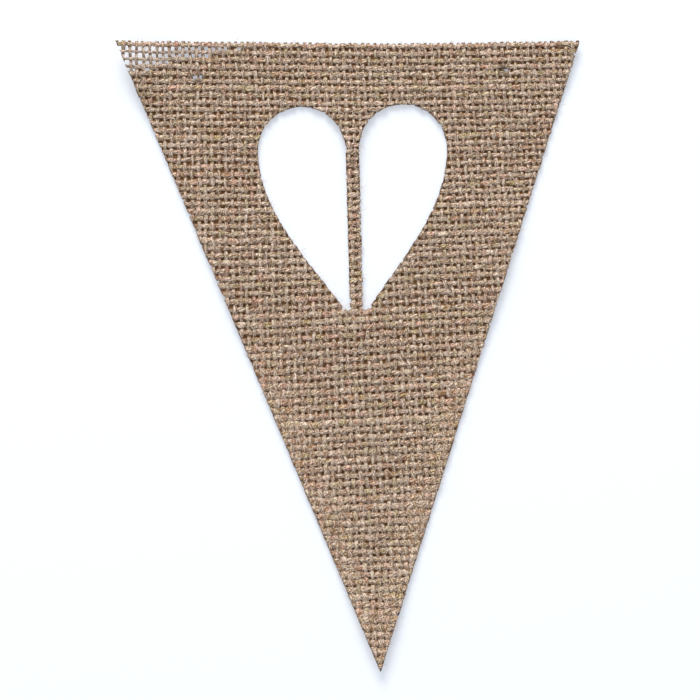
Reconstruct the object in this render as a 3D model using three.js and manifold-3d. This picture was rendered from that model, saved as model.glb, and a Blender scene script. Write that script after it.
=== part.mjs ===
// Triangular bunting pennant, die-cut in one piece from stiffened jute hessian and lying face up.
// Millimetres, +Z up. The origin lies on the ground under the middle of the pennant's box,
// +X runs to the right along the top edge and +Y points to the top edge.
import * as THREE from "three";
import { mergeVertices } from "three/addons/utils/BufferGeometryUtils.js";
import Module from "manifold-3d";

// The cut cloth. Its point lies a little to the right of the top edge's middle.
const TOP_EDGE = 140;
const DROP = 190.5;
const POINT_OFFSET = 9.9;
const CLOTH_THICKNESS = 1.4;

// Holes for the hanging string, punched near the top corners.
const STRING_HOLE_DIAMETER = 3.5;
const STRING_HOLE_SIDES = 20;
const STRING_HOLES = [
  { x: -45.4, y: 84.3 },
  { x: 47.0, y: 86.8 },
];

// Heart stencil: two half cells, parted by an upright bridge of cloth.
// Its centre is the middle of the bridge at the height of the lobes' centres.
const HEART_CENTRE = { x: 1.4, y: 62.5 };
const HEART_TILT_DEG = 1.5;
const HEART_BRIDGE = 4.2;
const HEART_LOBE_RADIUS = 13.2;
const HEART_DEPTH = 49.5;
const HEART_FOOT_ROUND = 1.6;
// Pull points of the flank's curve, as shares of the half heart's width and depth.
const HEART_FLANK = { lowerWidth: 0.6, lowerDepth: 0.6, upperDepth: 0.34 };
const HEART_CURVE_STEPS = 14;

// Soft lifts of the resting cloth. Each rises to its height at its middle and dies away at its reach,
// and everywhere else the cloth lies flat on the ground.
const LIFTS = [
  { where: "top left corner", x: -70, y: 95, reachX: 23, reachY: 32, height: 4.4 },
  { where: "top right corner", x: 70, y: 95, reachX: 20, reachY: 22, height: 1.2 },
  { where: "point", x: 9.9, y: -95, reachX: 26, reachY: 40, height: 2.0 },
  { where: "right edge", x: 46, y: 24, reachX: 18, reachY: 34, height: 1.3 },
  { where: "left edge", x: -40, y: 14, reachX: 20, reachY: 26, height: 0.9 },
  { where: "top of the bridge", x: 1, y: 64, reachX: 14, reachY: 22, height: 1.2 },
  { where: "foot of the heart", x: 3, y: 12, reachX: 18, reachY: 14, height: 0.8 },
];
const CLOTH_GRID = { columns: 28, rows: 38 };

// The cutting shapes reach this far past the cloth on every side.
const CUT_MARGIN = 10;

const wasm = await Module();
wasm.setup();

function solidOf(geometry) {
  const bare = geometry.clone();
  bare.deleteAttribute("normal");
  bare.deleteAttribute("uv");
  const merged = mergeVertices(bare);
  return new wasm.Manifold(
    new wasm.Mesh({
      numProp: 3,
      vertProperties: merged.attributes.position.array,
      triVerts: new Uint32Array(merged.index.array),
    }),
  );
}

function geometryOf(solid) {
  const mesh = solid.getMesh();
  const geometry = new THREE.BufferGeometry();
  geometry.setAttribute("position", new THREE.BufferAttribute(mesh.vertProperties, 3));
  geometry.setIndex(new THREE.BufferAttribute(mesh.triVerts, 1));
  geometry.computeVertexNormals();
  return geometry;
}

// Height of the cloth's underside above the ground.
function liftAt(x, y) {
  let height = 0;
  for (const lift of LIFTS) {
    const away = ((x - lift.x) / lift.reachX) ** 2 + ((y - lift.y) / lift.reachY) ** 2;
    if (away < 1) height += lift.height * (1 - away) ** 2;
  }
  return height;
}

// An oblong of cloth with the soft lifts, larger all round than the pennant.
function restingCloth() {
  const cloth = new THREE.BoxGeometry(
    TOP_EDGE + CUT_MARGIN,
    DROP + CUT_MARGIN,
    CLOTH_THICKNESS,
    CLOTH_GRID.columns,
    CLOTH_GRID.rows,
    1,
  );
  cloth.translate(0, 0, CLOTH_THICKNESS / 2);
  const points = cloth.attributes.position;
  for (let i = 0; i < points.count; i += 1) {
    points.setZ(i, points.getZ(i) + liftAt(points.getX(i), points.getY(i)));
  }
  return cloth;
}

// A cutter with the given outline that passes right through the cloth.
function throughCut(shape) {
  const cutter = new THREE.ExtrudeGeometry(shape, {
    depth: CLOTH_THICKNESS + 2 * CUT_MARGIN,
    bevelEnabled: false,
    curveSegments: HEART_CURVE_STEPS,
  });
  return cutter.translate(0, 0, -CUT_MARGIN);
}

function pennantOutline() {
  const outline = new THREE.Shape();
  outline.moveTo(POINT_OFFSET, -DROP / 2);
  outline.lineTo(TOP_EDGE / 2, DROP / 2);
  outline.lineTo(-TOP_EDGE / 2, DROP / 2);
  outline.closePath();
  return outline;
}

// The right half of the heart: up the bridge's side, over the lobe and down the flank to a rounded foot.
function heartCellOutline() {
  const inner = HEART_BRIDGE / 2;
  const outer = inner + 2 * HEART_LOBE_RADIUS;
  const foot = -HEART_DEPTH;
  const cell = new THREE.Shape();
  cell.moveTo(inner, foot + HEART_FOOT_ROUND);
  cell.quadraticCurveTo(inner, foot, inner + HEART_FOOT_ROUND, foot + HEART_FOOT_ROUND);
  cell.bezierCurveTo(
    HEART_FLANK.lowerWidth * outer,
    HEART_FLANK.lowerDepth * foot,
    outer,
    HEART_FLANK.upperDepth * foot,
    outer,
    0,
  );
  cell.absarc(inner + HEART_LOBE_RADIUS, 0, HEART_LOBE_RADIUS, 0, Math.PI, false);
  cell.closePath();
  return cell;
}

function placedOnHeart(cutter) {
  cutter.rotateZ(THREE.MathUtils.degToRad(HEART_TILT_DEG));
  return cutter.translate(HEART_CENTRE.x, HEART_CENTRE.y, 0);
}

function heartCutters() {
  const rightCell = throughCut(heartCellOutline());
  const leftCell = rightCell.clone().rotateY(Math.PI).translate(0, 0, CLOTH_THICKNESS);
  return [placedOnHeart(rightCell), placedOnHeart(leftCell)];
}

function stringHoleCutters() {
  return STRING_HOLES.map((hole) => {
    const radius = STRING_HOLE_DIAMETER / 2;
    const length = CLOTH_THICKNESS + 2 * CUT_MARGIN;
    const punch = new THREE.CylinderGeometry(radius, radius, length, STRING_HOLE_SIDES);
    return punch.rotateX(Math.PI / 2).translate(hole.x, hole.y, 0);
  });
}

function pennantGeometry() {
  let cloth = solidOf(restingCloth()).intersect(solidOf(throughCut(pennantOutline())));
  for (const cutter of [...heartCutters(), ...stringHoleCutters()]) {
    cloth = cloth.subtract(solidOf(cutter));
  }
  return geometryOf(cloth);
}

const hessian = new THREE.MeshStandardMaterial({ color: 0xa08b77, roughness: 0.95, metalness: 0 });
const pennant = new THREE.Mesh(pennantGeometry(), hessian);
pennant.name = "pennant";

const bunting = new THREE.Group();
bunting.add(pennant);

export default bunting;
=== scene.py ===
import functools
import math

import bmesh
import bpy
import numpy as np
from bpy.props import FloatProperty, FloatVectorProperty, IntProperty, PointerProperty
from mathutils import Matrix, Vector
from mathutils.bvhtree import BVHTree


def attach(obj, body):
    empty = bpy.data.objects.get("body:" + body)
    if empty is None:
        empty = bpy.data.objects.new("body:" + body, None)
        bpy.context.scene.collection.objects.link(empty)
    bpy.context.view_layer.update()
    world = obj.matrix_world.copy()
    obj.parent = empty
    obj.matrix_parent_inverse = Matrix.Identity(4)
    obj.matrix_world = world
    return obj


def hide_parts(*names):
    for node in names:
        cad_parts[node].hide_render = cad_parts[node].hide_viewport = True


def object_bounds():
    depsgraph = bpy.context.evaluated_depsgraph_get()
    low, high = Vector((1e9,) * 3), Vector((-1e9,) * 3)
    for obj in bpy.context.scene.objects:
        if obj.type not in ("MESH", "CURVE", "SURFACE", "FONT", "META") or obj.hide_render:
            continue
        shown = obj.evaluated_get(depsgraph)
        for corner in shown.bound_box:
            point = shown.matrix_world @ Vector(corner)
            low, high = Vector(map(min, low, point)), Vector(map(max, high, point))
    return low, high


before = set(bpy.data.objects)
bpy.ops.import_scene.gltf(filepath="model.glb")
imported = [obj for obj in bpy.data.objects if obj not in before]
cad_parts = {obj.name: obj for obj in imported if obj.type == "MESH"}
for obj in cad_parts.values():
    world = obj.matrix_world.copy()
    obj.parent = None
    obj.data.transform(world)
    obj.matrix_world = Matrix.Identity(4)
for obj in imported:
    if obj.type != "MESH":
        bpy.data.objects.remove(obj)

bl_info = {
    "name": "Hessian bunting pennant",
    "version": (1, 0, 0),
    "blender": (4, 5, 0),
    "location": "3D View > Sidebar > Pennant",
    "description": "Weaves a die-cut jute hessian pennant yarn by yarn over its solid",
    "category": "Add Mesh",
}

MM = 0.001

# The solid that the woven cloth stands for: its node, its body and its sizes.
CLOTH_NODE = "pennant"
CLOTH_BODY = "root"
CAD_LOW, CAD_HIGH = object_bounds()
TOP_EDGE_Y = CAD_HIGH.y
LEFT_X = CAD_LOW.x
CLOTH_WIDTH = CAD_HIGH.x - CAD_LOW.x
CLOTH_THICKNESS = 1.4 * MM

# How the solid is read.
EDGE_GRID = 0.3 * MM  # step of the grid that holds the cut edges
LIFT_GRID = 1.5 * MM  # step of the grid that holds the lie
GRID_MARGIN = 4 * MM  # both grids reach this far past the cloth
LAST_CELL = 1.001  # a reading past a grid falls just inside its last cell
LIFT_SMOOTHING = 3  # rounds that take the facets out of the lie
WELD = 1e-6
STRING_HOLE_MOST_AREA = 30 * MM * MM  # a larger hole is a cell of the heart
UPRIGHT = 0.5  # upward share of a normal that tells a face from a wall

# A yarn's mesh.
YARN_SIDES = 8
READ_STEPS = 12  # stations read between two crossings
KEPT_EVERY = 3  # of those, each third is kept where the yarn is whole
CLIPPED_EVERY = 2  # and each second where a cut runs along its side
LATERAL_READINGS = 17  # readings across it that find such a cut
WHOLE_SHARE = 0.98  # share of its half width that counts as whole
SHORTEST_YARN = 0.2 * MM
CLEAR_OF_FLOOR = 0.02 * MM

# The weave's plan. A wander is its amplitude, its shortest and its longest wave.
PITCH_SPREAD = 0.04
YARN_WANDER = (0.14 * MM, 5 * MM, 25 * MM)
SHARED_WANDER = (0.2 * MM, 60 * MM, 140 * MM)
WARP_SHARED_SLANT = 0.6  # the wander that all yarns share runs aslant over the cloth
WEFT_SHARED_SLANT = 0.5
WAVES = 3  # waves in a wander
CROSSING_ROUNDS = 5  # rounds in which the crossings settle

# Depths below the top edge at which the first weft lies and the stated pitches, covers and tilts hold.
FIRST_WEFT_BELOW_EDGE = 1.55 * MM
EDGE_ROOM = 1.0 * MM  # from the first weft up to the warp's last bend
WEFT_PITCH_DEPTHS = (25 * MM, 90 * MM, 165 * MM)
COVER_DEPTHS = (65 * MM, 160 * MM)
TILT_DEPTHS = (0.0, 110 * MM)

# A yarn's section. A float is where it passes over or under another yarn.
YARN_CROWN = 0.41 * MM  # height above its middle
YARN_SOLE = 0.36 * MM  # depth below its middle
MIDDLE_RAISED = 0.05 * MM  # its middle above the middle of the cloth
WARP_RISE = 0.38 * MM  # rise and fall on the floats
WEFT_RISE = 0.27 * MM
FLOAT_SPREAD = 0.03
FLOAT_FLATNESS = 0.25

# Chance in a yarn's form, as shares of its thickness, with shortest and longest waves.
THICKNESS_LIMITS = (0.74, 1.32)
HEIGHT_LIMITS = (0.8, 1.2)
SLUB_SHARE = 0.9  # of the unevenness
SLUB_WAVES = (2 * MM, 12 * MM)
FIBRE_RIDGES = (0.17, 3 * MM, 10 * MM)
LUMPINESS = 0.03

# Chance in a yarn's cut ends.
HOLE_OVERHANG = (1.2 * MM, 2.0 * MM)  # a crushed end hangs over a string hole
TRIM_SPREAD = 0.06 * MM
FRAY_DEPTH = 0.7 * MM

# Chance in a yarn's colour: its own tone and casts, and the patches along it.
TINT_SPREAD = 0.15
PATCH_WAVES = (4 * MM, 18 * MM)
PATCH_TONE = 0.3
PATCH_PINK = 0.37
PATCH_OLIVE = 0.4
PATTERN_REACH = 50  # each yarn takes its grain from its own place in the pattern

# The top left corner, where the yarns are thin and the gaps stand open.
THINNED_ALONG_TOP = 55 * MM
THINNED_DOWN = 12 * MM
THINNED_DIES_AWAY = (0.5, 1.1)  # shares of that reach
FULL_TOP_ROW = (1.8 * MM, 2.6 * MM)  # above this the yarns stay full
WARP_NARROWING = 0.16
WEFT_NARROWING = 0.42
CORNER_FLATTENING = 0.15

# The side edges of the lower half, where the yarns are pressed wide and dull.
PRESSED_INWARDS = (2 * MM, 13 * MM)  # dies away inwards
PRESSED_DOWN = (72 * MM, 105 * MM)  # sets in below the top edge
PRESSED_WIDER = 0.3
PRESSED_DULLER = 1.3

# The web of pressed fibres in the gaps, coloured dark as painted shade there.
WEB_INSET = 0.15 * MM
WEB_SAG = (0.2 * MM, 0.6 * MM)
WEB_OVERHANG = 0.8 * MM  # over a string hole
GAP_OPENS = (0.15, 0.6)  # how thinned the cloth is where a gap stands open

# Stray fibres and straws.
FIBRE_JOINTS = 3  # points along one
FIBRE_SIDES = 3
FIBRE_HEIGHTS = (-0.1, 0.4)  # none grow below the first, all above the second, in half thicknesses
FIBRE_STRAYS = ((-1.0, -1.0, -0.2), (1.0, 1.0, 0.5))  # how far one points off its yarn's run
FIBRE_OUTWARD = 0.1  # and out of its yarn's surface
FIBRE_LENGTH_ROOTS = (0.45, 1.3)  # squared, so that few are long
FIBRE_CURL_LENGTH = 1.6 * MM
NOISE_MEAN = 0.5  # the noise that curls it, and how far that departs from its mean
NOISE_SWING = 0.25
FIBRE_LOWEST = 0.05 * MM

# Patterns of the jute, at the sizes at which they are drawn.
YARN_HALF_WIDTH = 0.644 * MM
STREAK_WIDTH = 0.4025 * MM
FINE_STREAK_WIDTH = 0.28 * MM
STREAK_SQUEEZE = 0.3  # along the yarn, which draws the streaks out
FIBRE_END_WIDTH = 0.33 * MM
STRAND_WIDTH = 0.5 * MM
TONE_WEIGHT = 0.05
FIBRE_END_WEIGHT = 2.2
MOST_FADED = 0.5
MOST_EDGE_DARKENING = 0.5

# The stage, in metres.
FLOOR_REACH = 2.0
FLOOR_TOOTH = 2 * MM
GLOW_COLOUR = "#eff5ff"
SKY_COLOUR = "#f9faff"
KEY_COLOUR = "#fffaf2"
KEY_PLACE = (-0.35, 2.4, 1.45)
KEY_SIZE = (1.6, 1.2)


def linear(hex_colour):
    """Linear RGB of an sRGB hex colour."""
    channels = [int(hex_colour[k:k + 2], 16) / 255 for k in (1, 3, 5)]
    return tuple(c / 12.92 if c <= 0.04045 else ((c + 0.055) / 1.055) ** 2.4 for c in channels)


class PennantWeave(bpy.types.PropertyGroup):
    """Sizes of the plain weave."""

    warp_pitch_left: FloatProperty(
        name="Warp pitch at the left",
        description="Spacing of the upright yarns at the left of the top edge",
        default=2.0 * MM, min=0.5 * MM, unit="LENGTH", precision=5)
    warp_pitch_right: FloatProperty(
        name="Warp pitch at the right",
        description="Spacing of the upright yarns at the right of the top edge",
        default=1.875 * MM, min=0.5 * MM, unit="LENGTH", precision=5)
    weft_pitch_top: FloatProperty(
        name="Weft pitch at the top", description="Spacing of the cross yarns at the top edge",
        default=2.16 * MM, min=0.5 * MM, unit="LENGTH", precision=5)
    weft_pitch_middle: FloatProperty(
        name="Weft pitch in the middle", description="Spacing of the cross yarns half way down",
        default=2.43 * MM, min=0.5 * MM, unit="LENGTH", precision=5)
    weft_pitch_point: FloatProperty(
        name="Weft pitch at the point", description="Spacing of the cross yarns near the point",
        default=2.28 * MM, min=0.5 * MM, unit="LENGTH", precision=5)
    warp_cover: FloatVectorProperty(
        name="Warp cover",
        description="Width of an upright yarn as a share of its spacing, from top to point",
        default=(0.56, 0.68), size=2, min=0.2, max=1)
    weft_cover: FloatVectorProperty(
        name="Weft cover",
        description="Width of a cross yarn as a share of its spacing, from top to point",
        default=(0.68, 0.71), size=2, min=0.2, max=1)
    twist_length: FloatProperty(
        name="Twist length", description="Length of yarn in which its fibres turn once",
        default=11 * MM, min=1 * MM, unit="LENGTH", precision=4)
    unevenness: FloatProperty(
        name="Unevenness", description="Spread of the yarns' thickness, as a share",
        default=0.09, min=0, max=0.4, subtype="FACTOR")
    warp_lean_left: FloatProperty(
        name="Warp lean at the left",
        description="Lean of the upright yarns to the right on their way down, at the left of the top edge",
        default=math.radians(0.6), subtype="ANGLE")
    warp_lean_right: FloatProperty(
        name="Warp lean at the right", description="The same lean at the right of the top edge",
        default=math.radians(3.9), subtype="ANGLE")
    weft_tilt_top: FloatProperty(
        name="Weft tilt at the top", description="Climb of the cross yarns to the right at the top edge",
        default=math.radians(0.1), subtype="ANGLE")
    weft_tilt_low: FloatProperty(
        name="Weft tilt below", description="Climb of the cross yarns to the right in the lower half",
        default=math.radians(2.75), subtype="ANGLE")
    seed: IntProperty(name="Seed", description="Seed of the yarns' unevenness", default=11)


class PennantFibres(bpy.types.PropertyGroup):
    """Sizes of the stray fibres."""

    density: FloatProperty(
        name="Fibres on the face", description="Stray fibres for each square metre of upward yarn surface",
        default=1100000, min=0)
    spread: FloatProperty(
        name="Spread", description="How far the fibres stray from the run of their yarn, as a share",
        default=0.7, min=0, max=2, subtype="FACTOR")
    lift: FloatProperty(
        name="Lift", description="How far the fibres rise off the cloth, as a share",
        default=1.0, min=0, max=2, subtype="FACTOR")
    length: FloatProperty(
        name="Fibre length", description="Length of a typical stray fibre",
        default=1.7 * MM, min=0.1 * MM, unit="LENGTH", precision=5)
    diameter: FloatProperty(
        name="Fibre diameter", description="Diameter of a stray fibre or of a few that cling together",
        default=0.11 * MM, min=0.01 * MM, unit="LENGTH", precision=6)
    curl: FloatProperty(
        name="Curl", description="How far the tip of a fibre wanders off its line",
        default=0.25 * MM, min=0, unit="LENGTH", precision=5)
    seed: IntProperty(name="Seed", description="Seed of the fibres' places", default=5)


class PennantStraws(bpy.types.PropertyGroup):
    """Sizes of the few long straws that lie across the weave."""

    density: FloatProperty(
        name="Straws on the face", description="Straws for each square metre of upward yarn surface",
        default=4500, min=0)
    spread: FloatProperty(
        name="Spread", description="How far the straws stray from the run of their yarn, as a share",
        default=1.5, min=0, max=3, subtype="FACTOR")
    lift: FloatProperty(
        name="Lift", description="How far the straws rise off the cloth, as a share",
        default=0.1, min=0, max=2, subtype="FACTOR")
    length: FloatProperty(
        name="Straw length", description="Length of a typical straw",
        default=5 * MM, min=0.1 * MM, unit="LENGTH", precision=5)
    diameter: FloatProperty(
        name="Straw diameter", description="Diameter of a straw",
        default=0.16 * MM, min=0.01 * MM, unit="LENGTH", precision=6)
    curl: FloatProperty(
        name="Curl", description="How far the tip of a straw wanders off its line",
        default=0.3 * MM, min=0, unit="LENGTH", precision=5)
    seed: IntProperty(name="Seed", description="Seed of the straws' places", default=39)


class PennantColours(bpy.types.PropertyGroup):
    """Colours of the natural jute and of the stage."""

    pale: FloatVectorProperty(
        name="Pale jute", description="Bleached fibres on the tops of the yarns",
        default=linear("#e8d8c8"), size=3, min=0, max=1, subtype="COLOR")
    brown: FloatVectorProperty(
        name="Brown jute", description="Darker fibres between the pale ones",
        default=linear("#93714d"), size=3, min=0, max=1, subtype="COLOR")
    # Painted shade: besides dark fibres, this colour is painted on the low parts of the yarns for the shade
    # deep between them.
    dark_jute_and_shade: FloatVectorProperty(
        name="Jute in the recesses", description="Dark fibres deep between the yarns",
        default=linear("#7a4a20"), size=3, min=0, max=1, subtype="COLOR")
    pink: FloatVectorProperty(
        name="Pinkish cast", description="Cast of stretches spun from reddish fibre",
        default=linear("#ffdfda"), size=3, min=0, max=1, subtype="COLOR")
    olive: FloatVectorProperty(
        name="Olive cast", description="Cast of stretches spun from greenish fibre",
        default=linear("#e6ebc6"), size=3, min=0, max=1, subtype="COLOR")
    faded: FloatVectorProperty(
        name="Faded jute", description="Weathered yarns of the thinned corner",
        default=linear("#d3c3b7"), size=3, min=0, max=1, subtype="COLOR")
    # The colour the yarns darken to towards the cut edges.
    darkened_edges: FloatVectorProperty(
        name="Singed ends", description="Browned tips of the yarns along the cut edges",
        default=linear("#54453a"), size=3, min=0, max=1, subtype="COLOR")
    floor: FloatVectorProperty(
        name="Floor", description="Opal acrylic of the light table that the cloth lies on",
        default=linear("#c4c9cf"), size=3, min=0, max=1, subtype="COLOR")


class PennantStage(bpy.types.PropertyGroup):
    """Camera, floor and light."""

    view_width: FloatProperty(
        name="View width", description="Width of floor that the square picture takes in",
        default=211.4 * MM, min=10 * MM, unit="LENGTH", precision=4)
    view_right: FloatProperty(
        name="View centre right", description="The picture's centre to the right of the pennant's",
        default=0.68 * MM, unit="LENGTH", precision=5)
    view_up: FloatProperty(
        name="View centre up", description="The picture's centre above the pennant's, towards the top edge",
        default=1.96 * MM, unit="LENGTH", precision=5)
    lens: FloatProperty(
        name="Lens", description="Focal length in millimetres",
        default=180, min=20, unit="CAMERA")
    key_power: FloatProperty(
        name="Key light", description="Power of the soft light above the top edge",
        default=91.0, min=0, unit="POWER")
    sky_strength: FloatProperty(
        name="Sky", description="Strength of the even light from all round",
        default=0.62, min=0)
    floor_glow: FloatProperty(
        name="Floor glow", description="Strength of the light that comes through the floor from below",
        default=0.43, min=0)


def smoothstep(low, high, value):
    """0 up to low, 1 from high on, and a soft rise between them."""
    share = np.clip((value - low) / (high - low), 0, 1)
    return share * share * (3 - 2 * share)


class PlanGrid:
    """Readings on an even grid over the cloth's plan, with straight interpolation between them."""

    def __init__(self, step):
        self.step = step
        self.x = np.arange(CAD_LOW.x - GRID_MARGIN, CAD_HIGH.x + GRID_MARGIN + step, step)
        self.y = np.arange(CAD_LOW.y - GRID_MARGIN, CAD_HIGH.y + GRID_MARGIN + step, step)
        self.values = np.zeros((len(self.y), len(self.x)))

    def at(self, x, y):
        column = np.clip((x - self.x[0]) / self.step, 0, len(self.x) - LAST_CELL)
        row = np.clip((y - self.y[0]) / self.step, 0, len(self.y) - LAST_CELL)
        i, j = column.astype(int), row.astype(int)
        u, v = column - i, row - j
        lower = self.values[j, i] * (1 - u) + self.values[j, i + 1] * u
        upper = self.values[j + 1, i] * (1 - u) + self.values[j + 1, i + 1] * u
        return lower * (1 - v) + upper * v

    def smooth(self):
        padded = np.pad(self.values, 1, mode="edge")
        upright = (padded[:-2] + 2 * padded[1:-1] + padded[2:]) / 4
        self.values = (upright[:, :-2] + 2 * upright[:, 1:-1] + upright[:, 2:]) / 4


def welded_solid():
    """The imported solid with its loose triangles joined."""
    solid = bmesh.new()
    solid.from_mesh(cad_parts[CLOTH_NODE].data)
    bmesh.ops.remove_doubles(solid, verts=solid.verts, dist=WELD)
    solid.normal_update()
    return solid


def rim_loops(solid):
    """The cut edges in plan, each a closed ring of points: where the solid's upper face meets its walls."""
    neighbours = {}
    for edge in solid.edges:
        upward = [face.normal.z > UPRIGHT for face in edge.link_faces]
        wall = [abs(face.normal.z) < UPRIGHT for face in edge.link_faces]
        if any(upward) and any(wall):
            a, b = edge.verts
            neighbours.setdefault(a, []).append(b)
            neighbours.setdefault(b, []).append(a)
    loops = []
    while neighbours:
        start = next(iter(neighbours))
        ring, here = [], start
        while here in neighbours:
            ring.append((here.co.x, here.co.y))
            onward = [v for v in neighbours.pop(here) if v in neighbours]
            here = onward[0] if onward else start
        loops.append(np.array(ring))
    return loops


def ring_area(ring):
    """Area in plan of a closed ring of points."""
    x, y = ring.T
    return abs(np.dot(x, np.roll(y, -1)) - np.dot(y, np.roll(x, -1))) / 2


def depth_in_rings(x, y, rings):
    """Distance of each plan point from the nearest ring, positive in the cloth and negative outside it."""
    starts = np.concatenate(rings)
    ends = np.concatenate([np.roll(ring, -1, axis=0) for ring in rings])
    nearest = np.full(x.shape, np.inf)
    crossed = np.zeros(x.shape, int)
    for start, end in zip(starts, ends):
        along = end - start
        forward = (x - start[0]) * along[0] + (y - start[1]) * along[1]
        share = np.clip(forward / (along @ along), 0, 1)
        gap = np.hypot(x - start[0] - share * along[0], y - start[1] - share * along[1])
        nearest = np.minimum(nearest, gap)
        if along[1]:
            spans = (start[1] > y) != (end[1] > y)
            crossed += spans & (x < start[0] + (y - start[1]) * along[0] / along[1])
    return np.where(crossed % 2 == 1, nearest, -nearest)


class CutCloth:
    """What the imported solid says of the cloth: its cut edges, its string holes and how it lies."""

    def __init__(self):
        solid = welded_solid()
        loops = sorted(rim_loops(solid), key=ring_area)
        self.holes = [ring for ring in loops if ring_area(ring) < STRING_HOLE_MOST_AREA]
        self.area = ring_area(loops[-1]) - sum(ring_area(ring) for ring in loops[:-1])
        self.edges = PlanGrid(EDGE_GRID)
        x, y = np.meshgrid(self.edges.x, self.edges.y)
        self.edges.values = depth_in_rings(x, y, loops[len(self.holes):])
        self.lie = self.read_lie(solid)
        solid.free()

    def read_lie(self, solid):
        """Height of the middle of the cloth above the floor, without the solid's facets."""
        lie = PlanGrid(LIFT_GRID)
        tree = BVHTree.FromBMesh(solid)
        above = CAD_HIGH.z + CLOTH_THICKNESS
        for j, y in enumerate(lie.y):
            for i, x in enumerate(lie.x):
                point = tree.ray_cast(Vector((x, y, above)), Vector((0, 0, -1)))[0]
                point = point or tree.find_nearest(Vector((x, y, above)))[0]
                lie.values[j, i] = point.z - CLOTH_THICKNESS / 2
        for _ in range(LIFT_SMOOTHING):
            lie.smooth()
        return lie

    def depth(self, x, y, overhang=0.0):
        """Depth inside the cut edges. A yarn's crushed end hangs over a string hole by its own overhang."""
        depth = self.edges.at(x, y)
        for ring in self.holes:
            centre = ring.mean(0)
            radius = np.hypot(*(ring - centre).T).mean()
            depth = np.minimum(depth, np.hypot(x - centre[0], y - centre[1]) - radius + overhang)
        return depth

    def drawn_inside(self, x, y, inset):
        """The same points, with those outside or near a cut edge moved straight in to the inset."""
        depth = self.depth(x, y)
        slope_x = (self.depth(x + EDGE_GRID, y) - self.depth(x - EDGE_GRID, y)) / (2 * EDGE_GRID)
        slope_y = (self.depth(x, y + EDGE_GRID) - self.depth(x, y - EDGE_GRID)) / (2 * EDGE_GRID)
        short = np.maximum(inset - depth, 0)
        return x + short * slope_x, y + short * slope_y


@functools.cache
def cut_cloth():
    """The cloth, read from its solid once."""
    return CutCloth()


def thinned_corner(x, y):
    """1 at the top left corner, under its first weft, dying away to the right and down."""
    away = (x - LEFT_X) / THINNED_ALONG_TOP + (TOP_EDGE_Y - y) / THINNED_DOWN
    return (1 - smoothstep(*THINNED_DIES_AWAY, away)) * smoothstep(*FULL_TOP_ROW, TOP_EDGE_Y - y)


def pressed_sides(x, y):
    """1 along the side edges of the lower half, dying away inwards and upwards."""
    inwards = cut_cloth().edges.at(x, y)
    return (1 - smoothstep(*PRESSED_INWARDS, inwards)) * smoothstep(*PRESSED_DOWN, TOP_EDGE_Y - y)


class Wander:
    """A slow seeded wander for each yarn of a family, from a few waves of its own."""

    def __init__(self, rng, yarns, amplitude, shortest, longest):
        self.amplitude = amplitude
        self.lengths = rng.uniform(shortest, longest, (yarns, WAVES))
        self.phases = rng.uniform(0, 2 * math.pi, (yarns, WAVES))

    def at(self, yarn, along):
        turns = 2 * math.pi * np.asarray(along)[..., None] / self.lengths[yarn] + self.phases[yarn]
        return self.amplitude * np.sin(turns).sum(-1) / math.sqrt(WAVES)


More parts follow.
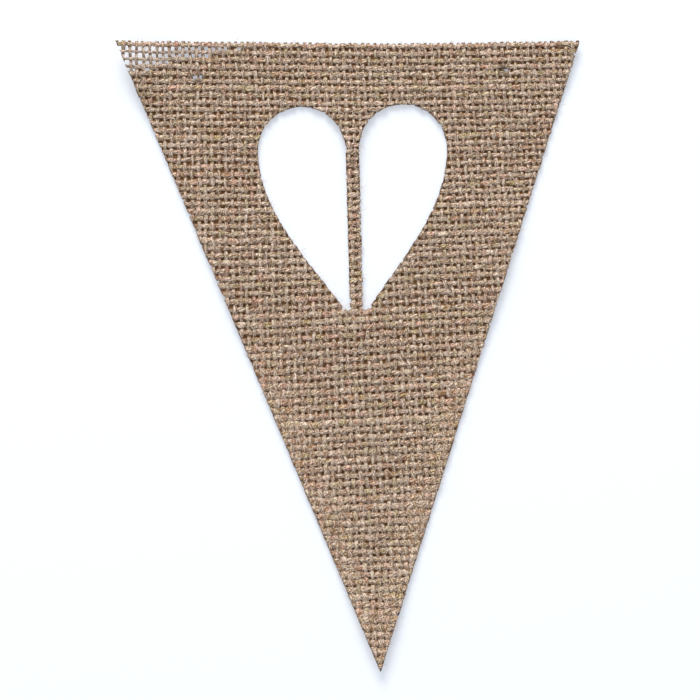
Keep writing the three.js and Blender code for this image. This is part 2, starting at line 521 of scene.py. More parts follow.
class WeavePlan:
    """Where the warp and weft lines run in plan, and where they cross."""

    def __init__(self, sizes):
        rng = np.random.default_rng(sizes.seed)
        self.sizes = sizes
        self.warp_start = self.warp_places(rng)
        across = (self.warp_start - LEFT_X) / CLOTH_WIDTH
        lean = sizes.warp_lean_left + (sizes.warp_lean_right - sizes.warp_lean_left) * across
        self.warp_lean = np.tan(lean)
        self.weft_start = self.weft_places(rng)
        lowered = smoothstep(*TILT_DEPTHS, TOP_EDGE_Y - self.weft_start)
        tilt = sizes.weft_tilt_top + (sizes.weft_tilt_low - sizes.weft_tilt_top) * lowered
        self.weft_tilt = np.tan(tilt)
        self.warp_wander = Wander(rng, len(self.warp_start), *YARN_WANDER)
        self.weft_wander = Wander(rng, len(self.weft_start), *YARN_WANDER)
        self.shared = Wander(rng, 2, *SHARED_WANDER)
        self.find_crossings()

    def warp_places(self, rng):
        """Places of the warp along the top edge, from left to right."""
        left, right = self.sizes.warp_pitch_left, self.sizes.warp_pitch_right
        x = LEFT_X - GRID_MARGIN
        places = []
        while x < CAD_HIGH.x + GRID_MARGIN:
            places.append(x)
            pitch = left + (right - left) * (x - LEFT_X) / CLOTH_WIDTH
            x += pitch * (1 + rng.normal(0, PITCH_SPREAD))
        return np.array(places)

    def weft_places(self, rng):
        """Heights of the weft at the left edge, down past the point. The first is the warp's last bend."""
        sizes = self.sizes
        pitches = (sizes.weft_pitch_top, sizes.weft_pitch_middle, sizes.weft_pitch_point)
        y = TOP_EDGE_Y - FIRST_WEFT_BELOW_EDGE
        lowest = CAD_LOW.y - CLOTH_WIDTH * math.tan(sizes.weft_tilt_low) - GRID_MARGIN
        places = [y + EDGE_ROOM]
        while y > lowest:
            places.append(y)
            pitch = np.interp(TOP_EDGE_Y - y, WEFT_PITCH_DEPTHS, pitches)
            y -= pitch * (1 + rng.normal(0, PITCH_SPREAD))
        return np.array(places)

    def warp_x(self, i, y):
        x = self.warp_start[i] + (TOP_EDGE_Y - y) * self.warp_lean[i]
        return x + self.warp_wander.at(i, y) + self.shared.at(0, y + WARP_SHARED_SLANT * self.warp_start[i])

    def weft_y(self, j, x):
        y = self.weft_start[j] + (x - LEFT_X) * self.weft_tilt[j]
        return y + self.weft_wander.at(j, x) + self.shared.at(1, x - WEFT_SHARED_SLANT * self.weft_start[j])

    def find_crossings(self):
        """Where each warp line meets each weft line, found by going to and fro between the two."""
        i, j = np.indices((len(self.warp_start), len(self.weft_start)))
        y = self.weft_start[j]
        for _ in range(CROSSING_ROUNDS):
            x = self.warp_x(i, y)
            y = self.weft_y(j, x)
        self.cross_x, self.cross_y = x, y

    def warp_course(self, i):
        crossing = np.arange(len(self.weft_start))
        t = np.arange(0, crossing[-1], 1 / READ_STEPS)
        y = np.interp(t, crossing, self.cross_y[i])
        room = np.interp(t, crossing, np.gradient(self.cross_x, axis=0)[i])
        return YarnCourse(self.warp_x(i, y), y, room, (-1) ** i * crimp_wave(t), WARP_RISE)

    def weft_course(self, j):
        crossing = np.arange(len(self.warp_start))
        t = np.arange(0, crossing[-1], 1 / READ_STEPS)
        x = np.interp(t, crossing, self.cross_x[:, j])
        room = np.interp(t, crossing, -np.gradient(self.cross_y, axis=1)[:, j])
        return YarnCourse(x, self.weft_y(j, x), room, -(-1) ** j * crimp_wave(t), WEFT_RISE)


def crimp_wave(t):
    """Height of a plain-weave yarn from -1 to 1 at fractional crossing t, a little flat on its floats."""
    wave = np.cos(math.pi * t)
    return (1 + FLOAT_FLATNESS) * wave - FLOAT_FLATNESS * wave ** 3


class YarnCourse:
    """A yarn's run through the cloth: its plan line, the room between its neighbours and its crimp."""

    def __init__(self, x, y, room, wave, rise):
        self.x, self.y, self.room, self.wave = x, y, room, wave
        ahead = np.c_[np.gradient(x), np.gradient(y)]
        step = np.hypot(*ahead.T)
        self.side = np.c_[-ahead[:, 1], ahead[:, 0]] / step[:, None]
        self.along = np.cumsum(step)
        self.level = cut_cloth().lie.at(x, y)
        self.middle = self.level + MIDDLE_RAISED + wave * rise
        run = np.c_[ahead, np.gradient(self.middle)]
        self.run = run / np.linalg.norm(run, axis=1)[:, None]
        self.thinned = thinned_corner(x, y)
        self.pressed = pressed_sides(x, y)


class SpunYarn:
    """What chance gave one yarn: its thickness along its course, its colour and how its ends were cut."""

    def __init__(self, rng, course, cover, narrowing, unevenness):
        own = np.clip(1 + rng.normal(0, unevenness), *THICKNESS_LIMITS)
        slubs = Wander(rng, 1, SLUB_SHARE * unevenness, *SLUB_WAVES)
        fullness = own * (1 + slubs.at(0, course.along))
        spread = 1 + FLOAT_SPREAD * course.wave
        drawn_in = 1 - narrowing * course.thinned
        widened = 1 + PRESSED_WIDER * course.pressed
        covered = np.interp(TOP_EDGE_Y - course.y, COVER_DEPTHS, cover) * widened
        self.half_width = covered * course.room / 2 * fullness * spread * drawn_in
        self.ridges = Wander(rng, YARN_SIDES, *FIBRE_RIDGES)
        self.rise = np.clip(fullness, *HEIGHT_LIMITS) * (1 - CORNER_FLATTENING * course.thinned)
        self.overhang = rng.uniform(*HOLE_OVERHANG)
        self.trim = rng.normal(0, TRIM_SPREAD)
        tone, pink, olive = rng.normal(0, TINT_SPREAD, 3)
        patches = Wander(rng, 3, 1.0, *PATCH_WAVES)
        self.tint = np.stack([
            tone + PATCH_TONE * patches.at(0, course.along) - PRESSED_DULLER * course.pressed,
            np.clip(pink + PATCH_PINK * patches.at(1, course.along), 0, 1),
            np.clip(olive + PATCH_OLIVE * patches.at(2, course.along), 0, 1)], -1)
        self.place = rng.uniform(-PATTERN_REACH, PATTERN_REACH, 3)


class YarnFamily:
    """Collects the tubes of all warp or all weft yarns into one mesh.

    Its points carry fibre_space (half widths round the yarn and millimetres along it), yarn_tint (tone, pink
    and olive), yarn_finish (height in the cloth, fraying and thinning) and yarn_run (the yarn's direction).
    """

    def __init__(self, name, sizes, cover, narrowing, seed):
        self.name = name
        self.sizes = sizes
        self.cover = cover
        self.narrowing = narrowing
        self.rng = np.random.default_rng(seed)
        self.points, self.quads, self.caps = [], [], []
        self.fibre, self.tint, self.finish, self.run = [], [], [], []
        self.count = 0

    def add_yarn(self, course):
        """Adds one yarn, parted wherever the cloth is cut."""
        yarn = SpunYarn(self.rng, course, self.cover, self.narrowing, self.sizes.unevenness)
        readings = np.linspace(-1, 1, LATERAL_READINGS)
        reach = readings * yarn.half_width[:, None]
        x = course.x[:, None] + reach * course.side[:, :1]
        y = course.y[:, None] + reach * course.side[:, 1:]
        depth = yarn.trim + cut_cloth().depth(x, y, yarn.overhang)
        low, high = self.cut_sides(depth, readings)
        inside = depth.max(1) > 0
        ends = np.flatnonzero(np.diff(np.r_[False, inside, False].astype(int)))
        for begin, stop in zip(ends[::2], ends[1::2]):
            if course.along[stop - 1] - course.along[begin] > SHORTEST_YARN:
                self.add_length(course, yarn, np.arange(begin, stop), low, high)

    def add_length(self, course, yarn, stations, low, high):
        """Adds one uncut length of yarn as a closed tube with its attributes."""
        whole = (low[stations] < -WHOLE_SHARE) & (high[stations] > WHOLE_SHARE)
        kept = stations % np.where(whole, KEPT_EVERY, CLIPPED_EVERY) == 0
        kept[[0, -1]] = True
        k = stations[kept]
        column = np.arange(YARN_SIDES)
        along = course.along[k, None]
        spoke = 2 * math.pi * column / YARN_SIDES
        angle = spoke - 2 * math.pi * along / self.sizes.twist_length
        lumps = 1 + yarn.ridges.at(column, along) + self.rng.normal(0, LUMPINESS, angle.shape)
        share = np.clip(lumps * np.cos(angle), low[k, None], high[k, None])
        across = share * yarn.half_width[k, None]
        half_height = np.where(np.sin(angle) > 0, YARN_CROWN, YARN_SOLE)
        upward = lumps * np.sin(angle) * half_height * yarn.rise[k, None]
        x = course.x[k, None] + across * course.side[k, :1]
        y = course.y[k, None] + across * course.side[k, 1:]
        z = np.maximum(course.middle[k, None] + upward, CLEAR_OF_FLOOR)
        self.points.append(np.stack([x, y, z], -1).reshape(-1, 3))

        round_x, round_y, run = np.broadcast_arrays(np.cos(spoke), np.sin(spoke), along / MM)
        self.fibre.append((np.stack([round_x, round_y, run], -1) + yarn.place).reshape(-1, 3))
        self.tint.append(np.repeat(yarn.tint[k], YARN_SIDES, axis=0))
        self.run.append(np.repeat(course.run[k], YARN_SIDES, axis=0))
        # Height in the cloth; the yarn material paints shade from it on the low parts.
        lifted = (z - course.level[k, None]) / (CLOTH_THICKNESS / 2)
        fray = np.clip(1 - cut_cloth().depth(x, y) / FRAY_DEPTH, 0, 1)
        bare = np.broadcast_to(course.thinned[k, None], z.shape)
        self.finish.append(np.stack([lifted, fray, bare], -1).reshape(-1, 3))
        self.add_faces(len(k))

    def cut_sides(self, depth, readings):
        """The share of each section, from -1 to 1 across the yarn, that lies inside the cut edges."""
        deepest = depth.argmax(1)
        rows = np.arange(len(depth))
        low, high = np.full(len(depth), -1.0), np.full(len(depth), 1.0)
        open_low, open_high = np.ones(len(depth), bool), np.ones(len(depth), bool)
        for offset in range(1, LATERAL_READINGS):
            for direction, limit, still in ((1, high, open_high), (-1, low, open_low)):
                here = np.clip(deepest + direction * offset, 0, LATERAL_READINGS - 1)
                inner = np.clip(deepest + direction * (offset - 1), 0, LATERAL_READINGS - 1)
                ends = still & (depth[rows, here] < 0) & (here != inner)
                span = depth[rows, inner] - depth[rows, here]
                share = depth[rows, inner] / np.where(span == 0, 1, span)
                cut = readings[inner] + (readings[here] - readings[inner]) * share
                limit[ends] = cut[ends]
                still[ends] = False
        return low, high

    def add_faces(self, stations):
        """Joins the corners of the newest stations into a tube with a cap on each end."""
        ring = self.count + np.arange(stations * YARN_SIDES).reshape(stations, YARN_SIDES)
        after = np.roll(ring, -1, axis=1)
        quads = np.stack([ring[:-1], after[:-1], after[1:], ring[1:]], -1)
        self.quads.append(quads.reshape(-1, 4))
        self.caps.append(ring[0, ::-1])
        self.caps.append(ring[-1])
        self.count += stations * YARN_SIDES

    def make_object(self, material):
        """The whole family as one piece."""
        mesh = bpy.data.meshes.new(self.name)
        faces = np.concatenate(self.quads).tolist() + [cap.tolist() for cap in self.caps]
        mesh.from_pydata(np.concatenate(self.points), [], faces)
        for name, rows in (("fibre_space", self.fibre), ("yarn_tint", self.tint),
                           ("yarn_finish", self.finish), ("yarn_run", self.run)):
            attribute = mesh.attributes.new(name, "FLOAT_VECTOR", "POINT")
            attribute.data.foreach_set("vector", np.concatenate(rows).astype(np.float32).ravel())
        mesh.polygons.foreach_set("use_smooth", np.arange(len(faces)) < len(faces) - len(self.caps))
        return new_piece(mesh, material)


def fibre_and_shade_web_mesh(plan, rng):
    """A thin uneven web: a patch in each gap of the weave, apart from most of the thinned corner's, dark as
    painted shade.
    """
    cloth = cut_cloth()
    x, y = cloth.drawn_inside(plan.cross_x, plan.cross_y, WEB_INSET)
    middle_x = (plan.cross_x[:-1, :-1] + plan.cross_x[1:, 1:]) / 2
    middle_y = (plan.cross_y[:-1, :-1] + plan.cross_y[1:, 1:]) / 2
    sag = rng.uniform(*WEB_SAG, middle_x.shape)
    opens_at = rng.uniform(*GAP_OPENS, middle_x.shape)
    inside = cloth.depth(x, y, WEB_OVERHANG) > 0
    patched = inside[:-1, :-1] & inside[1:, :-1] & inside[1:, 1:] & inside[:-1, 1:]
    # Above the first weft there is nothing to hold a patch.
    patched[:, 0] = False
    patched &= cloth.depth(middle_x, middle_y, WEB_OVERHANG) > 0
    patched &= opens_at > thinned_corner(middle_x, middle_y)

    corner = np.arange(x.size).reshape(x.shape)
    ring = [corner[:-1, :-1], corner[1:, :-1], corner[1:, 1:], corner[:-1, 1:]]
    hub = x.size + np.arange(middle_x.size).reshape(middle_x.shape)
    sides = [np.stack([a, b, hub], -1)[patched] for a, b in zip(ring[1:] + ring[:1], ring)]
    used, faces = np.unique(np.concatenate(sides), return_inverse=True)
    plan_x = np.r_[x.ravel(), middle_x.ravel()]
    plan_y = np.r_[y.ravel(), middle_y.ravel()]
    height = cloth.lie.at(plan_x, plan_y) - np.r_[np.zeros(x.size), sag.ravel()]
    mesh = bpy.data.meshes.new("pressed_fibres")
    points = np.stack([plan_x, plan_y, height], -1)[used]
    mesh.from_pydata(points, [], faces.reshape(-1, 3).tolist())
    return mesh


def new_piece(mesh, material):
    """An object for a finished mesh, on the cloth's body."""
    mesh.materials.clear()
    mesh.materials.append(material)
    mesh.validate()
    piece = bpy.data.objects.new(mesh.name, mesh)
    bpy.context.scene.collection.objects.link(piece)
    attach(piece, CLOTH_BODY)
    return piece


def add_node(tree, kind, inputs=(), **settings):
    """Adds a node with its settings. inputs gives, for each socket, a value or the socket that feeds it."""
    node = tree.nodes.new(kind)
    for name, value in settings.items():
        setattr(node, name, value)
    for key, value in dict(inputs).items():
        if isinstance(value, bpy.types.NodeSocket):
            tree.links.new(value, node.inputs[key])
        else:
            node.inputs[key].default_value = value
    return node


def stray_fibre_tree():
    """Geometry Nodes that grow curling fibres from the upper sides of yarns, fewer towards their cut ends."""
    tree = bpy.data.node_groups.new("stray_fibres", "GeometryNodeTree")
    for name, kind in (("Yarns", "Geometry"), ("Density", "Float"), ("Spread", "Float"), ("Lift", "Float"),
                       ("Length", "Float"), ("Diameter", "Float"), ("Curl", "Float"), ("Seed", "Int"),
                       ("Material", "Material")):
        tree.interface.new_socket(name, in_out="INPUT", socket_type=f"NodeSocket{kind}")
    tree.interface.new_socket("Fibres", in_out="OUTPUT", socket_type="NodeSocketGeometry")
    given = add_node(tree, "NodeGroupInput").outputs

    finish = add_node(tree, "GeometryNodeInputNamedAttribute", {"Name": "yarn_finish"},
                      data_type="FLOAT_VECTOR")
    finish = add_node(tree, "ShaderNodeSeparateXYZ", {0: finish.outputs[0]}).outputs
    on_top = add_node(tree, "ShaderNodeMapRange", {
        "Value": finish["X"], "From Min": FIBRE_HEIGHTS[0], "From Max": FIBRE_HEIGHTS[1]})
    uncut = add_node(tree, "ShaderNodeMath", {0: 1.0, 1: finish["Y"]}, operation="SUBTRACT")
    grows = add_node(tree, "ShaderNodeMath", {0: on_top.outputs[0], 1: uncut.outputs[0]},
                     operation="MULTIPLY")
    density = add_node(tree, "ShaderNodeMath", {0: grows.outputs[0], 1: given["Density"]},
                       operation="MULTIPLY")
    roots = add_node(tree, "GeometryNodeDistributePointsOnFaces", {
        "Mesh": given["Yarns"], "Density": density.outputs[0], "Seed": given["Seed"]})

    run = add_node(tree, "GeometryNodeInputNamedAttribute", {"Name": "yarn_run"}, data_type="FLOAT_VECTOR")
    sense = add_node(tree, "FunctionNodeRandomValue", {2: -1.0, 3: 1.0, "Seed": given["Seed"]},
                     data_type="FLOAT")
    sense = add_node(tree, "ShaderNodeMath", {0: sense.outputs[1]}, operation="SIGN")
    with_yarn = add_node(tree, "ShaderNodeVectorMath", {0: run.outputs[0], "Scale": sense.outputs[0]},
                         operation="SCALE")
    astray = add_node(tree, "FunctionNodeRandomValue", {
        0: FIBRE_STRAYS[0], 1: FIBRE_STRAYS[1], "Seed": given["Seed"]}, data_type="FLOAT_VECTOR")
    astray = add_node(tree, "ShaderNodeVectorMath", {0: astray.outputs[0], "Scale": given["Spread"]},
                      operation="SCALE")
    leaving = add_node(tree, "ShaderNodeVectorMath", {0: astray.outputs[0], 1: with_yarn.outputs[0]})
    outward = add_node(tree, "ShaderNodeVectorMath", {
        0: roots.outputs["Normal"], 1: (FIBRE_OUTWARD,) * 3, 2: leaving.outputs[0]}, operation="MULTIPLY_ADD")
    lift = add_node(tree, "ShaderNodeCombineXYZ", {"X": 1.0, "Y": 1.0, "Z": given["Lift"]})
    raised = add_node(tree, "ShaderNodeVectorMath", {0: outward.outputs[0], 1: lift.outputs[0]},
                      operation="MULTIPLY")
    aim = add_node(tree, "FunctionNodeAlignRotationToVector", {"Vector": raised.outputs[0]}, axis="Z")
    root = add_node(tree, "FunctionNodeRandomValue", {
        2: FIBRE_LENGTH_ROOTS[0], 3: FIBRE_LENGTH_ROOTS[1], "Seed": given["Seed"]}, data_type="FLOAT")
    share = add_node(tree, "ShaderNodeMath", {0: root.outputs[1], 1: 2.0}, operation="POWER")
    length = add_node(tree, "ShaderNodeMath", {0: share.outputs[0], 1: given["Length"]},
                      operation="MULTIPLY")
    straight = add_node(tree, "GeometryNodeCurvePrimitiveLine", {"End": (0.0, 0.0, 1.0)})
    jointed = add_node(tree, "GeometryNodeResampleCurve", {
        "Curve": straight.outputs[0], "Count": FIBRE_JOINTS})
    grown = add_node(tree, "GeometryNodeInstanceOnPoints", {
        "Points": roots.outputs["Points"], "Instance": jointed.outputs[0],
        "Rotation": aim.outputs[0], "Scale": length.outputs[0]})
    shade = add_node(tree, "FunctionNodeRandomValue", {2: 0.0, 3: 1.0, "Seed": given["Seed"]},
                     data_type="FLOAT")
    toned = add_node(tree, "GeometryNodeStoreNamedAttribute", {
        "Geometry": grown.outputs[0], "Name": "fibre_tone", "Value": shade.outputs[1]},
        data_type="FLOAT", domain="INSTANCE")
    loose = add_node(tree, "GeometryNodeRealizeInstances", {"Geometry": toned.outputs[0]})

    place = add_node(tree, "GeometryNodeInputPosition").outputs[0]
    stir = add_node(tree, "ShaderNodeTexNoise", {
        "Vector": place, "Scale": 1 / FIBRE_CURL_LENGTH, "Detail": 1.0})
    swing = add_node(tree, "ShaderNodeVectorMath", {0: stir.outputs["Color"], 1: (NOISE_MEAN,) * 3},
                     operation="SUBTRACT")
    out_along = add_node(tree, "GeometryNodeSplineParameter").outputs["Factor"]
    sway = add_node(tree, "ShaderNodeMath", {0: out_along, 1: given["Curl"]}, operation="MULTIPLY")
    sway = add_node(tree, "ShaderNodeMath", {0: sway.outputs[0], 1: 1 / NOISE_SWING}, operation="MULTIPLY")
    bend = add_node(tree, "ShaderNodeVectorMath", {0: swing.outputs[0], "Scale": sway.outputs[0]},
                    operation="SCALE")
    curled = add_node(tree, "GeometryNodeSetPosition", {
        "Geometry": loose.outputs[0], "Offset": bend.outputs[0]})
    above_floor = add_node(tree, "ShaderNodeVectorMath", {0: place, 1: (-1.0, -1.0, FIBRE_LOWEST)},
                           operation="MAXIMUM")
    settled = add_node(tree, "GeometryNodeSetPosition", {
        "Geometry": curled.outputs[0], "Position": above_floor.outputs[0]})
    radius = add_node(tree, "ShaderNodeMath", {0: given["Diameter"], 1: 2.0}, operation="DIVIDE")
    section = add_node(tree, "GeometryNodeCurvePrimitiveCircle", {
        "Resolution": FIBRE_SIDES, "Radius": radius.outputs[0]})
    fibres = add_node(tree, "GeometryNodeCurveToMesh", {
        "Curve": settled.outputs[0], "Profile Curve": section.outputs[0], "Fill Caps": True})
    plain = add_node(tree, "GeometryNodeRealizeInstances", {"Geometry": fibres.outputs[0]})
    finished = add_node(tree, "GeometryNodeSetMaterial", {
        "Geometry": plain.outputs[0], "Material": given["Material"]})
    add_node(tree, "NodeGroupOutput", {"Fibres": finished.outputs[0]})
    return tree


def grow_fibres(yarns, name, tree, material, sizes, seed):
    """A plain mesh of the loose fibres on one family of yarns."""
    carrier = bpy.data.objects.new(name, yarns.data.copy())
    bpy.context.scene.collection.objects.link(carrier)
    modifier = carrier.modifiers.new("stray_fibres", "NODES")
    modifier.node_group = tree
    values = {"Density": sizes.density, "Spread": sizes.spread, "Lift": sizes.lift, "Length": sizes.length,
              "Diameter": sizes.diameter, "Curl": sizes.curl, "Seed": seed, "Material": material}
    for socket in tree.interface.items_tree:
        if socket.name in values:
            modifier[socket.identifier] = values[socket.name]
    evaluated = carrier.evaluated_get(bpy.context.evaluated_depsgraph_get())
    mesh = bpy.data.meshes.new_from_object(evaluated)
    copied = carrier.data
    bpy.data.objects.remove(carrier)
    bpy.data.meshes.remove(copied)
    mesh.name = name
    return new_piece(mesh, material)


def new_material(name):
    material = bpy.data.materials.new(name)
    material.use_nodes = True
    tree = material.node_tree
    tree.nodes.clear()
    return material, tree


def jute_yarn_material():
    """Spun jute, a dull bast fibre: pale and brown fibres wind round each yarn, with painted shade that
    darkens it deep in the weave.
    """
    existing = bpy.data.materials.get("spun_jute_yarn")
    if existing:
        return existing
    colours = bpy.context.scene.pennant_colours
    material, tree = new_material("spun_jute_yarn")
    fibre = add_node(tree, "ShaderNodeAttribute", attribute_name="fibre_space").outputs["Vector"]
    tint = add_node(tree, "ShaderNodeAttribute", attribute_name="yarn_tint").outputs["Vector"]
    tint = add_node(tree, "ShaderNodeSeparateXYZ", {"Vector": tint}).outputs
    finish = add_node(tree, "ShaderNodeAttribute", attribute_name="yarn_finish").outputs["Vector"]
    finish = add_node(tree, "ShaderNodeSeparateXYZ", {"Vector": finish}).outputs

    # Fibre bundles are about 0.1 mm wide, too fine to show, so they are drawn three and four times as wide.
    grain = add_node(tree, "ShaderNodeVectorMath", {0: fibre, 1: (1.0, 1.0, STREAK_SQUEEZE)},
                     operation="MULTIPLY").outputs[0]
    streak = add_node(tree, "ShaderNodeTexNoise", {
        "Vector": grain, "Scale": YARN_HALF_WIDTH / STREAK_WIDTH, "Detail": 0.0})
    finer = add_node(tree, "ShaderNodeTexNoise", {
        "Vector": grain, "Scale": YARN_HALF_WIDTH / FINE_STREAK_WIDTH, "Detail": 0.0})
    streaks = add_node(tree, "ShaderNodeMath", {0: streak.outputs["Fac"], 1: finer.outputs["Fac"]},
                       operation="ADD")
    toned = add_node(tree, "ShaderNodeMath", {0: tint["X"], 1: TONE_WEIGHT, 2: streaks.outputs[0]},
                     operation="MULTIPLY_ADD")
    # The fibre ends all over a yarn are as fine, and are drawn about 0.3 mm wide.
    place = add_node(tree, "ShaderNodeTexCoord").outputs["Object"]
    fuzz = add_node(tree, "ShaderNodeTexNoise", {
        "Vector": place, "Scale": 1 / FIBRE_END_WIDTH, "Detail": 0.0})
    fuzzy = add_node(tree, "ShaderNodeMath", {
        0: fuzz.outputs["Fac"], 1: FIBRE_END_WEIGHT, 2: toned.outputs[0]}, operation="MULTIPLY_ADD")
    paleness = add_node(tree, "ShaderNodeMapRange", {
        "Value": fuzzy.outputs[0], "From Min": 1.9, "From Max": 2.3})
    spun = add_node(tree, "ShaderNodeMix", {
        0: paleness.outputs[0], 6: (*colours.brown, 1), 7: (*colours.pale, 1)}, data_type="RGBA")
    rosy = add_node(tree, "ShaderNodeMix", {
        0: tint["Y"], 6: spun.outputs[2], 7: (*colours.pink, 1)}, data_type="RGBA", blend_type="MULTIPLY")
    mossy = add_node(tree, "ShaderNodeMix", {
        0: tint["Z"], 6: rosy.outputs[2], 7: (*colours.olive, 1)}, data_type="RGBA", blend_type="MULTIPLY")
    fading = add_node(tree, "ShaderNodeMath", {0: finish["Z"], 1: MOST_FADED}, operation="MULTIPLY")
    faded = add_node(tree, "ShaderNodeMix", {
        0: fading.outputs[0], 6: mossy.outputs[2], 7: (*colours.faded, 1)}, data_type="RGBA")
    # Painted shade: the lower a point lies in the cloth, the more it takes of the dark colour, as if shaded
    # deep in the weave.
    raised = add_node(tree, "ShaderNodeMapRange", {
        "Value": finish["X"], "From Min": -0.3, "From Max": 0.6})
    shaded = add_node(tree, "ShaderNodeMix", {
        0: raised.outputs[0], 6: (*colours.dark_jute_and_shade, 1), 7: faded.outputs[2]}, data_type="RGBA")
    # The yarns darken towards the cut edges.
    edge_darkening = add_node(tree, "ShaderNodeMapRange", {
        "Value": finish["Y"], "From Min": 0.3, "From Max": 0.85, "To Max": MOST_EDGE_DARKENING})
    edge_darkened = add_node(tree, "ShaderNodeMix", {
        0: edge_darkening.outputs[0], 6: shaded.outputs[2], 7: (*colours.darkened_edges, 1)}, data_type="RGBA")
    rough = add_node(tree, "ShaderNodeMapRange", {
        "Value": streak.outputs["Fac"], "To Min": 0.7, "To Max": 0.95})
    bump = add_node(tree, "ShaderNodeBump", {
        "Height": streaks.outputs[0], "Strength": 1.0, "Distance": 0.5 * MM})
    shader = add_node(tree, "ShaderNodeBsdfPrincipled", {
        "Base Color": edge_darkened.outputs[2], "Roughness": rough.outputs[0], "Normal": bump.outputs[0],
        "IOR": 1.5, "Specular IOR Level": 0.3, "Sheen Weight": 0.08, "Sheen Roughness": 0.5})
    add_node(tree, "ShaderNodeOutputMaterial", {"Surface": shader.outputs[0]})
    return material


def fibre_and_shade_web_material():
    """Jute fibres pressed between the yarns: brown and matt, in short strands that lie every way, and dark as
    painted shade in the gaps.
    """
    colours = bpy.context.scene.pennant_colours
    material, tree = new_material("jute_fibre_and_gap_shade")
    # The pressed strands are as fine as those in the yarns, and are drawn about 0.5 mm wide.
    place = add_node(tree, "ShaderNodeTexCoord").outputs["Object"]
    strands = add_node(tree, "ShaderNodeTexNoise", {
        "Vector": place, "Scale": 1 / STRAND_WIDTH, "Detail": 3.0, "Roughness": 0.7, "Distortion": 1.5})
    share = add_node(tree, "ShaderNodeMapRange", {
        "Value": strands.outputs["Fac"], "From Min": 0.25, "From Max": 0.6})
    # Painted shade: dark jute and brown in patches, darker than the yarns, so that the gaps read as shade.
    base = add_node(tree, "ShaderNodeMix", {
        0: share.outputs[0], 6: (*colours.dark_jute_and_shade, 1), 7: (*colours.brown, 1)}, data_type="RGBA")
    bump = add_node(tree, "ShaderNodeBump", {
        "Height": strands.outputs["Fac"], "Strength": 1.0, "Distance": 0.3 * MM})
    shader = add_node(tree, "ShaderNodeBsdfPrincipled", {
        "Base Color": base.outputs[2], "Roughness": 0.95, "IOR": 1.5, "Specular IOR Level": 0.2,
        "Normal": bump.outputs[0]})
    add_node(tree, "ShaderNodeOutputMaterial", {"Surface": shader.outputs[0]})
    return material


def loose_fibre_material():
    """Loose jute fibre: straw with a little gloss, each fibre its own shade from dark brown to pale."""
    colours = bpy.context.scene.pennant_colours
    material, tree = new_material("loose_jute_fibre")
    tone = add_node(tree, "ShaderNodeAttribute", attribute_name="fibre_tone").outputs["Fac"]
    share = add_node(tree, "ShaderNodeMapRange", {"Value": tone, "From Min": 0.2, "From Max": 0.65})
    base = add_node(tree, "ShaderNodeMix", {
        0: share.outputs[0], 6: (*colours.dark_jute_and_shade, 1), 7: (*colours.pale, 1)}, data_type="RGBA")
    rough = add_node(tree, "ShaderNodeMapRange", {"Value": tone, "To Min": 0.75, "To Max": 0.5})
    shader = add_node(tree, "ShaderNodeBsdfPrincipled", {
        "Base Color": base.outputs[2], "Roughness": rough.outputs[0], "IOR": 1.5})
    add_node(tree, "ShaderNodeOutputMaterial", {"Surface": shader.outputs[0]})
    return material


def floor_material():
    """Opal acrylic of a light table, matt white, with a faint tooth and a weak glow from below."""
    material, tree = new_material("opal_acrylic")
    colours = bpy.context.scene.pennant_colours
    glow = bpy.context.scene.pennant_stage.floor_glow
    place = add_node(tree, "ShaderNodeTexCoord").outputs["Object"]
    tooth = add_node(tree, "ShaderNodeTexNoise", {"Vector": place, "Scale": 1 / FLOOR_TOOTH, "Detail": 2.0})
    rough = add_node(tree, "ShaderNodeMapRange", {
        "Value": tooth.outputs["Fac"], "To Min": 0.85, "To Max": 1.0})
    shader = add_node(tree, "ShaderNodeBsdfPrincipled", {
        "Base Color": (*colours.floor, 1), "Roughness": rough.outputs[0], "Specular IOR Level": 0.2,
        "Emission Color": (*linear(GLOW_COLOUR), 1), "Emission Strength": glow})
    add_node(tree, "ShaderNodeOutputMaterial", {"Surface": shader.outputs[0]})
    return material


class PENNANT_OT_warp(bpy.types.Operator):
    """Weaves the upright yarns of the cloth"""

    bl_idname = "pennant.warp"
    bl_label = "Weave warp yarns"

    def execute(self, context):
        sizes = context.scene.pennant_weave
        plan = WeavePlan(sizes)
        family = YarnFamily("hessian_warp", sizes, sizes.warp_cover, WARP_NARROWING, sizes.seed + 1)
        for i in range(len(plan.warp_start)):
            family.add_yarn(plan.warp_course(i))
        warp = family.make_object(jute_yarn_material())
        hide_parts(CLOTH_NODE)
        return {"FINISHED"}


class PENNANT_OT_weft(bpy.types.Operator):
    """Weaves the cross yarns of the cloth"""

    bl_idname = "pennant.weft"
    bl_label = "Weave weft yarns"

    def execute(self, context):
        sizes = context.scene.pennant_weave
        plan = WeavePlan(sizes)
        family = YarnFamily("hessian_weft", sizes, sizes.weft_cover, WEFT_NARROWING, sizes.seed + 2)
        # The first place is the warp's last bend, with no weft in it.
        for j in range(1, len(plan.weft_start)):
            family.add_yarn(plan.weft_course(j))
        family.make_object(jute_yarn_material())
        return {"FINISHED"}


class PENNANT_OT_fibre_and_shade_web(bpy.types.Operator):
    """Lays the web of pressed fibres that closes most gaps of the weave and darkens them as painted shade"""

    bl_idname = "pennant.pressed_fibres"
    bl_label = "Lay pressed fibres"

    def execute(self, context):
        sizes = context.scene.pennant_weave
        rng = np.random.default_rng(sizes.seed + 3)
        new_piece(fibre_and_shade_web_mesh(WeavePlan(sizes), rng), fibre_and_shade_web_material())
        return {"FINISHED"}


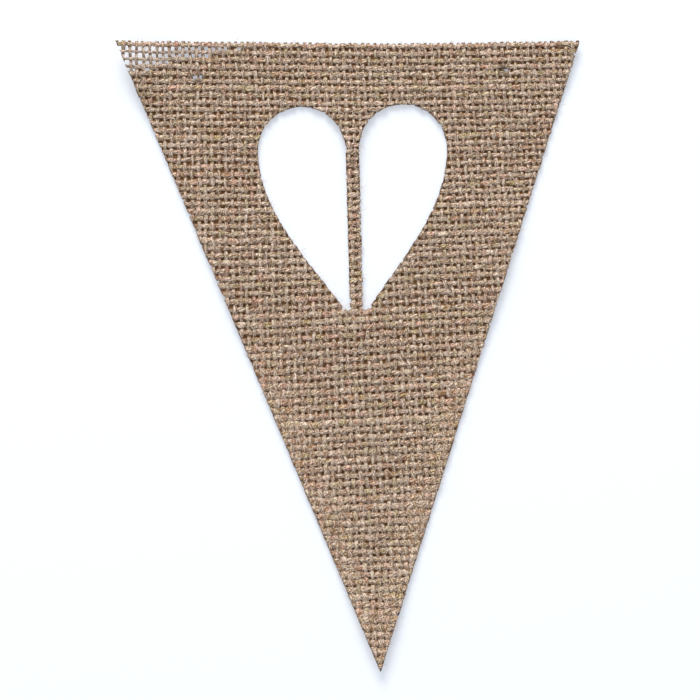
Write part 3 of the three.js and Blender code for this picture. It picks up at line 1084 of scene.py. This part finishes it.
class PENNANT_OT_loose_fibres(bpy.types.Operator):
    """Grows the stray fibres of the warp and the weft, and the long straws"""

    bl_idname = "pennant.loose_fibres"
    bl_label = "Grow loose fibres"

    def execute(self, context):
        fibres, straws = context.scene.pennant_fibres, context.scene.pennant_straws
        warp, weft = bpy.data.objects["hessian_warp"], bpy.data.objects["hessian_weft"]
        tree, material = stray_fibre_tree(), loose_fibre_material()
        grow_fibres(warp, "stray_fibres_warp", tree, material, fibres, fibres.seed)
        grow_fibres(weft, "stray_fibres_weft", tree, material, fibres, fibres.seed + 1)
        grow_fibres(weft, "long_straws", tree, material, straws, straws.seed)
        return {"FINISHED"}


class PENNANT_OT_stage(bpy.types.Operator):
    """Lays the floor and sets the light and the camera"""

    bl_idname = "pennant.stage"
    bl_label = "Set the stage"

    def execute(self, context):
        scene = context.scene
        stage = scene.pennant_stage
        corners = [(-1, -1), (1, -1), (1, 1), (-1, 1)]
        mesh = bpy.data.meshes.new("floor")
        mesh.from_pydata([(FLOOR_REACH * x, FLOOR_REACH * y, 0) for x, y in corners], [], [(0, 1, 2, 3)])
        mesh.materials.append(floor_material())
        floor = bpy.data.objects.new("floor", mesh)
        scene.collection.objects.link(floor)

        world = bpy.data.worlds.new("soft_white_sky")
        world.use_nodes = True
        world.node_tree.nodes.clear()
        sky = add_node(world.node_tree, "ShaderNodeBackground", {
            "Color": (*linear(SKY_COLOUR), 1), "Strength": stage.sky_strength})
        add_node(world.node_tree, "ShaderNodeOutputWorld", {"Surface": sky.outputs[0]})
        scene.world = world

        light = bpy.data.lights.new("soft_key", "AREA")
        light.shape = "RECTANGLE"
        light.size, light.size_y = KEY_SIZE
        light.energy = stage.key_power
        light.color = linear(KEY_COLOUR)
        key = bpy.data.objects.new("soft_key", light)
        key.location = KEY_PLACE
        key.rotation_euler = (-key.location).to_track_quat("-Z", "Y").to_euler()
        scene.collection.objects.link(key)

        lens = bpy.data.cameras.new("camera")
        lens.lens = stage.lens
        camera = bpy.data.objects.new("camera", lens)
        away = stage.view_width * stage.lens / lens.sensor_width
        camera.location = (stage.view_right, stage.view_up, away)
        scene.collection.objects.link(camera)
        scene.camera = camera
        scene.view_settings.view_transform = "Standard"
        return {"FINISHED"}


class PENNANT_PT_sidebar(bpy.types.Panel):
    """Lists the pennant's pieces and sizes"""

    bl_idname = "PENNANT_PT_sidebar"
    bl_label = "Hessian pennant"
    bl_space_type = "VIEW_3D"
    bl_region_type = "UI"
    bl_category = "Pennant"

    def draw(self, context):
        for operator in OPERATORS:
            self.layout.operator(operator.bl_idname)
        for name in SETTINGS:
            group = getattr(context.scene, name)
            box = self.layout.box()
            for key in group.__annotations__:
                box.prop(group, key)


SETTINGS = {
    "pennant_weave": PennantWeave,
    "pennant_fibres": PennantFibres,
    "pennant_straws": PennantStraws,
    "pennant_colours": PennantColours,
    "pennant_stage": PennantStage,
}
OPERATORS = (
    PENNANT_OT_stage,
    PENNANT_OT_warp,
    PENNANT_OT_weft,
    PENNANT_OT_fibre_and_shade_web,
    PENNANT_OT_loose_fibres,
)


def register():
    for group in SETTINGS.values():
        bpy.utils.register_class(group)
    for name, group in SETTINGS.items():
        setattr(bpy.types.Scene, name, PointerProperty(type=group))
    for operator in OPERATORS:
        bpy.utils.register_class(operator)
    bpy.utils.register_class(PENNANT_PT_sidebar)


def unregister():
    bpy.utils.unregister_class(PENNANT_PT_sidebar)
    for operator in reversed(OPERATORS):
        bpy.utils.unregister_class(operator)
    for name in SETTINGS:
        delattr(bpy.types.Scene, name)
    for group in reversed(SETTINGS.values()):
        bpy.utils.unregister_class(group)


def main():
    register()
    bpy.ops.pennant.stage()
    bpy.ops.pennant.warp()
    bpy.ops.pennant.weft()
    bpy.ops.pennant.pressed_fibres()
    bpy.ops.pennant.loose_fibres()
    cut_cloth().area


if __name__ == "__main__":
    main()
